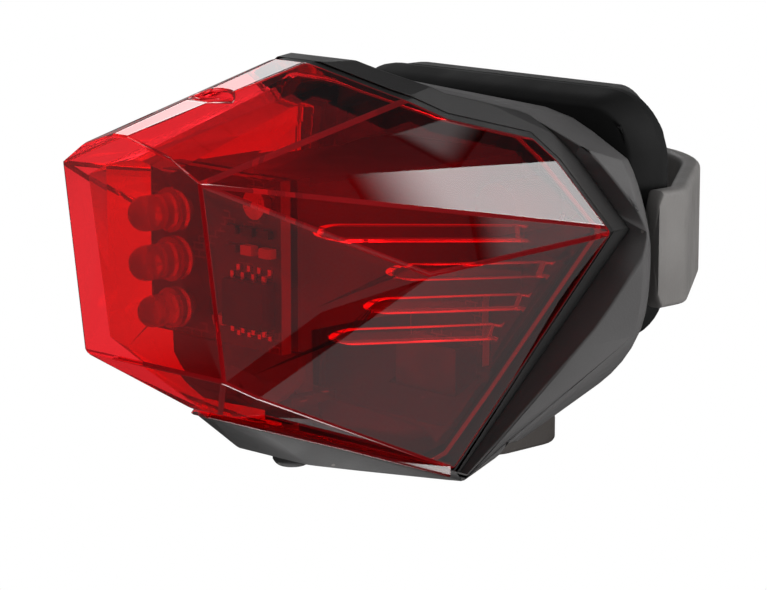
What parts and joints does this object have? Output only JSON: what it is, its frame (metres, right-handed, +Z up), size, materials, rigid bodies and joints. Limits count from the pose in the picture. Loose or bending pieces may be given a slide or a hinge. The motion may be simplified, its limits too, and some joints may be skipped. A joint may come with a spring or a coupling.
{
  "type": "bicycle rear light",
  "caption": "Faceted red bicycle rear light: hollow ribbed lens on a black housing that swivels on a padded bracket, held to the seat post by a stretch strap.",
  "frame": {"origin": "bottom of the saddle pad's trough, where the front of the seat post rests, on the swivel axis", "axes": "+Y from the lens front towards the post, +Z up along the post, +X across, level"},
  "size_m": [0.0446, 0.0642, 0.0366],
  "materials": {
    "lens_red": "clear red moulding, polished",
    "seal_rubber": "matt",
    "bezel_grey": "satin",
    "housing_black": "fine satin grain",
    "carrier_black": "satin",
    "board_laminate": "solder mask",
    "diode_epoxy": "moulded epoxy",
    "chip_black": "moulded",
    "tinned_lead": "tinned",
    "resistor_black": "glazed",
    "capacitor_tan": "fired",
    "screw_steel": "plated",
    "cell_foil": "foil",
    "wire_red": "smooth",
    "wire_black": "smooth",
    "board_green": "solder mask",
    "socket_steel": "drawn",
    "plunger_cream": "moulded",
    "button_rubber": "matt",
    "cover_rubber": "matt",
    "insert_brass": "turned",
    "bracket_black": "satin",
    "pad_rubber": "matt",
    "peg_black": "satin",
    "strap_rubber": "matt"
  },
  "bodies": {
    "bracket": {"bracket": "bracket_black", "saddle_pad": "pad_rubber", "peg_near": "peg_black", "peg_far": "peg_black", "strap": "strap_rubber"},
    "light": {"lens": "lens_red", "lens_seal": "seal_rubber", "bezel": "bezel_grey", "housing": "housing_black", "carrier": "carrier_black", "circuit_board": "board_laminate", "led_upper": "diode_epoxy", "led_lower": "diode_epoxy", "led_indicator": "diode_epoxy", "controller_chip": "chip_black", "chip_leads": "tinned_lead", "chip_resistors": "resistor_black", "chip_capacitors": "capacitor_tan", "board_screws": "screw_steel", "battery_cell": "cell_foil", "wire_positive": "wire_red", "wire_negative": "wire_black", "charge_board": "board_green", "charging_socket": "socket_steel", "socket_tongue": "chip_black", "switch_board": "board_green", "tact_switch": "chip_black", "cover_pin": "screw_steel", "housing_screws": "screw_steel", "threaded_insert": "insert_brass", "swivel_washer": "screw_steel", "swivel_screw": "screw_steel"},
    "button": {"power_button": "button_rubber", "switch_plunger": "plunger_cream"},
    "cover": {"port_cover": "cover_rubber"}
  },
  "joints": [
    {"name": "light_swivel", "type": "hinge", "parent": "bracket", "child": "light", "pos_m": [0, -0.0045, 0], "axis": [0, 1, 0], "range_deg": [-30, 30]},
    {"name": "button_press", "type": "slide", "parent": "light", "child": "button", "axis": [0, 0, 1], "range_m": [0, 0.0006], "stiffness_N_per_m": 1500, "springref_m": -0.0003},
    {"name": "cover_hinge", "type": "hinge", "parent": "light", "child": "cover", "pos_m": [0, -0.0134, -0.01965], "axis": [-1, 0, 0], "range_deg": [0, 95]}
  ]
}
